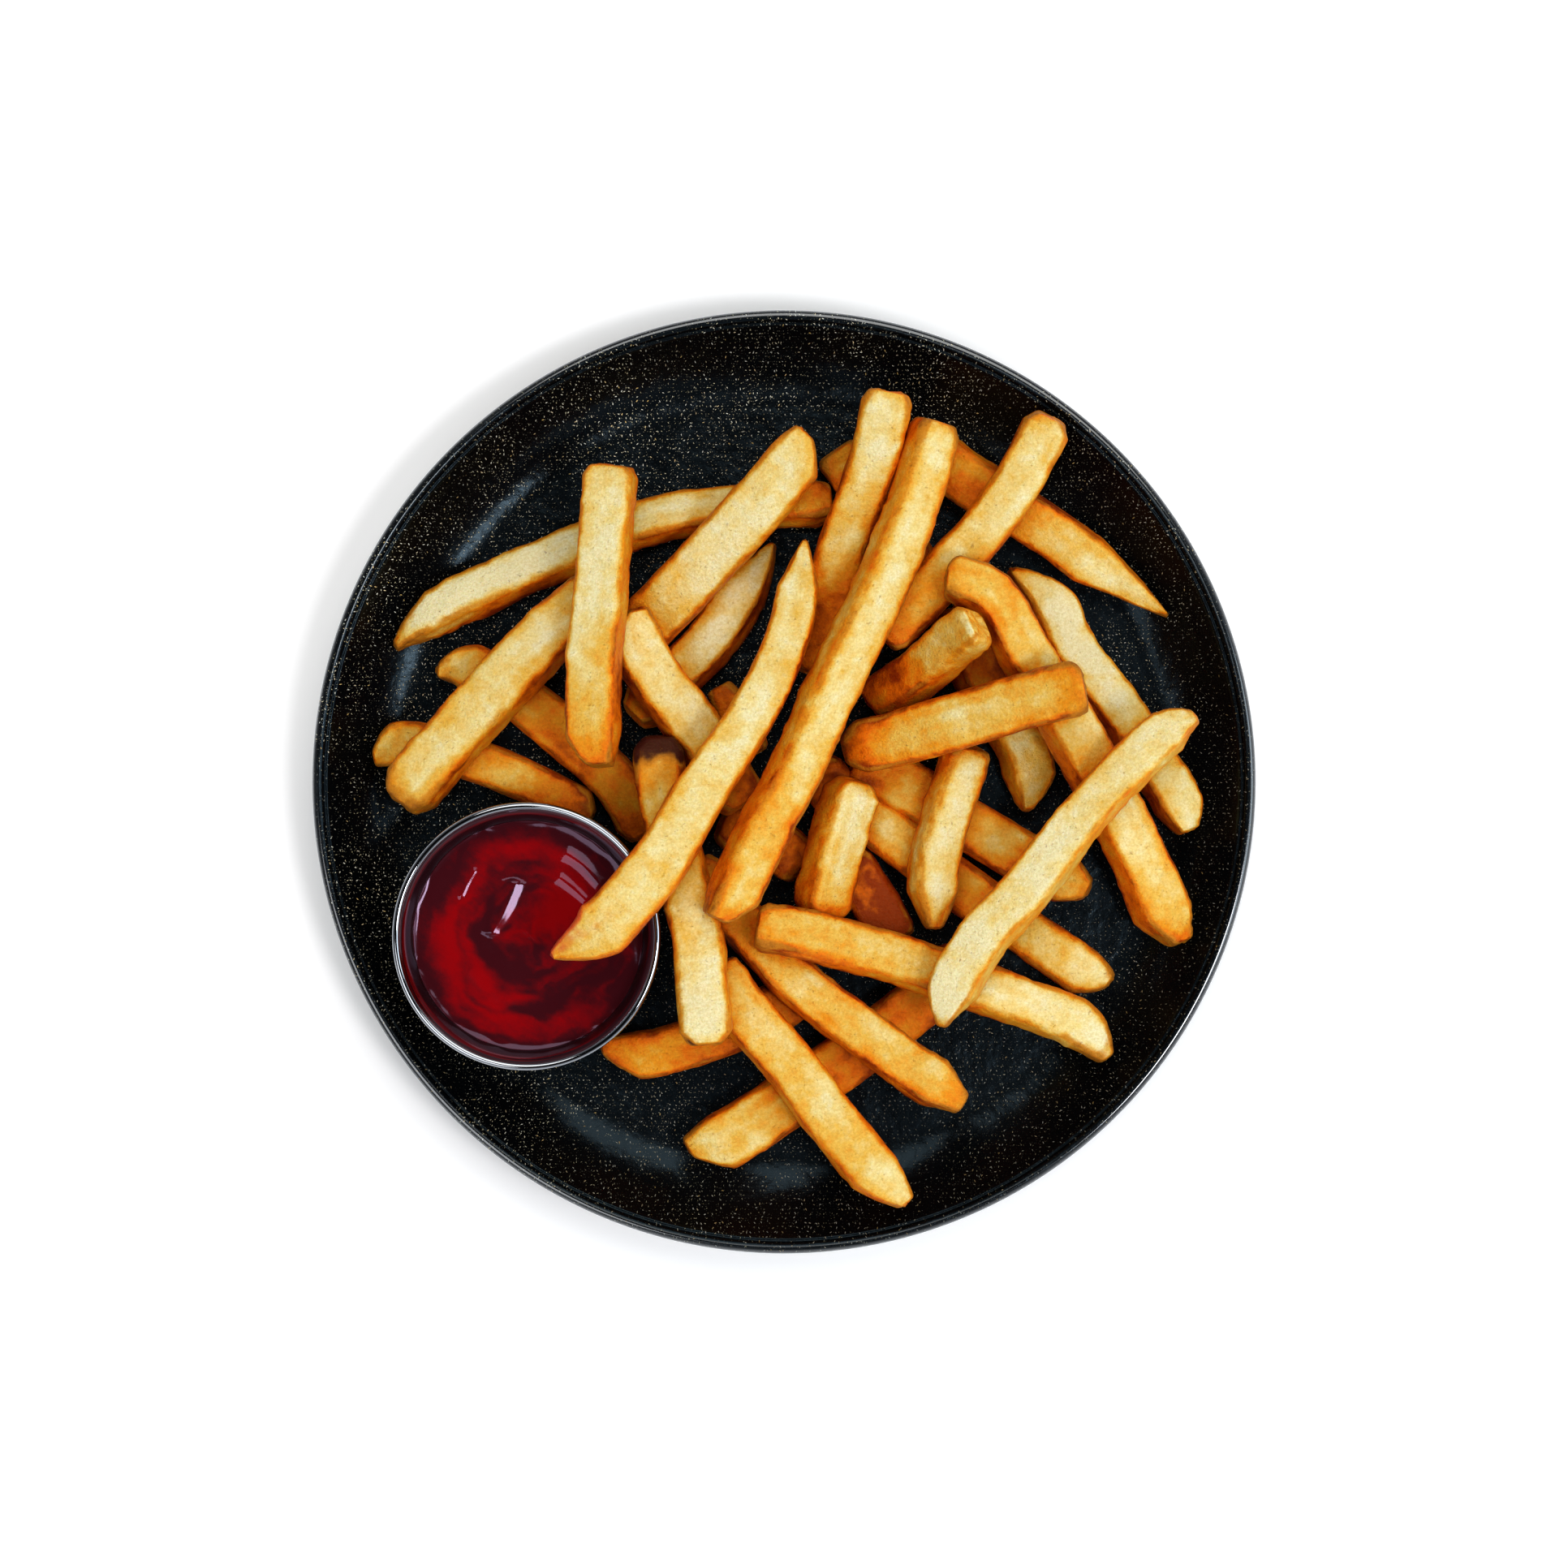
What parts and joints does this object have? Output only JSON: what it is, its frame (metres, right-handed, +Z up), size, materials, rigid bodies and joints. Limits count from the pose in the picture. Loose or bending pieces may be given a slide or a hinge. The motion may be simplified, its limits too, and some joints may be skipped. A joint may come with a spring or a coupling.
{
  "type": "french fries portion",
  "caption": "Thick-cut french fries heaped on a black speckled coupe plate, with a steel cup of ketchup and one fry laid over its rim.",
  "frame": {"origin": "centre of the plate's flat foot, on the surface that the plate stands on", "axes": "+Z up; +Y is the top of the plate as it is served and +X its right; the sauce cup stands towards -X and -Y"},
  "size_m": [0.22, 0.22, 0.0485],
  "materials": {
    "plate": "black rice-husk composite with a soft gloss, flecked with fine pale and golden grains",
    "steel": "spun stainless steel with fine rings and a rolled bright rim",
    "ketchup": "wet, glossy tomato ketchup with a soft swirl, deep red going to maroon at the wall",
    "fries": "fried potato, cream to golden, with darker orange-brown edges and ends",
    "dipped_fry": "fried potato, pale golden with slightly browned tips"
  },
  "bodies": {
    "root": {"plate": "plate", "sauce_cup": "steel", "ketchup": "ketchup", "fries_heap": "fries", "dipped_fry": "dipped_fry"}
  },
  "joints": []
}
